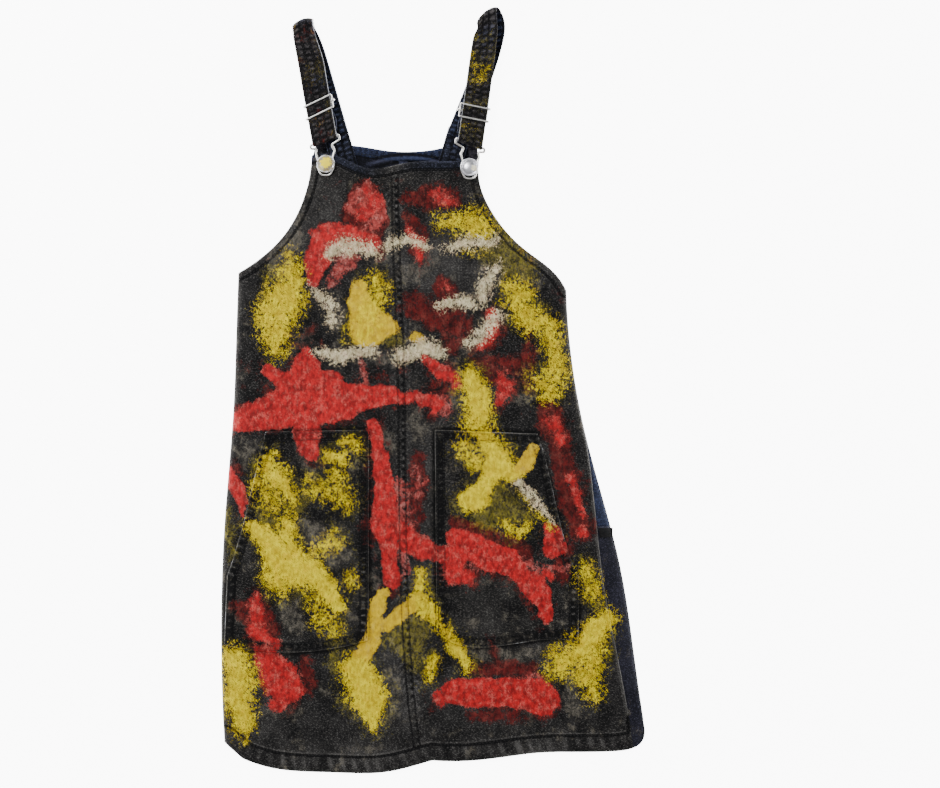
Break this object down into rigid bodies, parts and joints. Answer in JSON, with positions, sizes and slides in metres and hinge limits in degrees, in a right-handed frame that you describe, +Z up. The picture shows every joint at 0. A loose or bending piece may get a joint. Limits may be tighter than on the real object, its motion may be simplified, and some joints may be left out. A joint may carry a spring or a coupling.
{
  "type": "pinafore smock",
  "caption": "Sleeveless black denim pinafore smock with wire-hook shoulder straps and two patch pockets, splashed with paint, lying flat and face up",
  "frame": {"origin": "on the surface the garment lies on, under the middle of its whole outline", "axes": "+X to the viewer's right as the front is seen, +Y from the hem to the shoulder straps, +Z up from the surface through the front"},
  "size_m": [0.4243, 0.7631, 0.0193],
  "materials": {
    "front_denim": "washed black denim twill with dry-brushed acrylic paint",
    "pocket_denim": "washed black denim twill with dry-brushed acrylic paint",
    "inside_denim": "blue-black denim, unpainted",
    "strap_denim": "doubled denim strap with four rows of stitching",
    "tab_cotton": "plain black woven tape",
    "wire": "bright nickel-plated wire",
    "button_metal": "domed pressed-metal cap, satin",
    "tack_metal": "plain steel tack"
  },
  "bodies": {
    "garment": {"back_armhole_hem_left": "inside_denim", "back_armhole_hem_right": "inside_denim", "back_hem": "inside_denim", "back_neck_band": "inside_denim", "back_panel_fold_right": "inside_denim", "back_panel_left": "inside_denim", "back_panel_right": "inside_denim", "centre_back_seam": "inside_denim", "centre_front_seam": "front_denim", "front_armhole_hem_left": "front_denim", "front_armhole_hem_right": "front_denim", "front_hem": "front_denim", "front_neck_band": "front_denim", "front_panel_left": "front_denim", "front_panel_right": "front_denim", "pocket_left": "pocket_denim", "pocket_opening_hem_left": "pocket_denim", "pocket_opening_hem_right": "pocket_denim", "pocket_right": "pocket_denim", "side_facing_right": "inside_denim", "side_seam_left": "front_denim", "side_seam_right": "front_denim", "side_tab": "tab_cotton", "strap_anchor_left": "strap_denim", "strap_anchor_right": "strap_denim", "tack_left": "tack_metal", "tack_right": "tack_metal"},
    "hook_left": {"hook_left": "wire"},
    "strap_left": {"strap_left": "strap_denim"},
    "adjuster_left": {"adjuster_left": "wire", "adjuster_bar_left": "wire", "strap_tail_left": "strap_denim"},
    "button_left": {"button_cap_left": "button_metal"},
    "hook_right": {"hook_right": "wire"},
    "strap_right": {"strap_right": "strap_denim"},
    "adjuster_right": {"adjuster_right": "wire", "adjuster_bar_right": "wire", "strap_tail_right": "strap_denim"},
    "button_right": {"button_cap_right": "button_metal"}
  },
  "joints": [
    {"name": "hook_left_slide", "type": "slide", "parent": "garment", "child": "hook_left", "axis": [0, -1, 0], "range_m": [-0.004, 0.006]},
    {"name": "strap_left_flip", "type": "hinge", "parent": "hook_left", "child": "strap_left", "pos_m": [-0.108, 0.2509, 0.0142], "axis": [0.9316, 0.3634, 0], "range_deg": [0, 100]},
    {"name": "adjuster_left_slide", "type": "slide", "parent": "strap_left", "child": "adjuster_left", "axis": [-0.1771, 0.9842, 0], "range_m": [-0.015, 0.055]},
    {"name": "button_left_spin", "type": "hinge", "parent": "garment", "child": "button_left", "pos_m": [-0.1068, 0.227, 0.015], "axis": [0, 0, 1], "continuous": true},
    {"name": "hook_right_slide", "type": "slide", "parent": "garment", "child": "hook_right", "axis": [0, -1, 0], "range_m": [-0.004, 0.006]},
    {"name": "strap_right_flip", "type": "hinge", "parent": "hook_right", "child": "strap_right", "pos_m": [0.0373, 0.2476, 0.0142], "axis": [0.9316, -0.3634, 0], "range_deg": [0, 100]},
    {"name": "adjuster_right_slide", "type": "slide", "parent": "strap_right", "child": "adjuster_right", "axis": [0.1409, 0.99, 0], "range_m": [-0.015, 0.055]},
    {"name": "button_right_spin", "type": "hinge", "parent": "garment", "child": "button_right", "pos_m": [0.0361, 0.2237, 0.015], "axis": [0, 0, 1], "continuous": true}
  ]
}
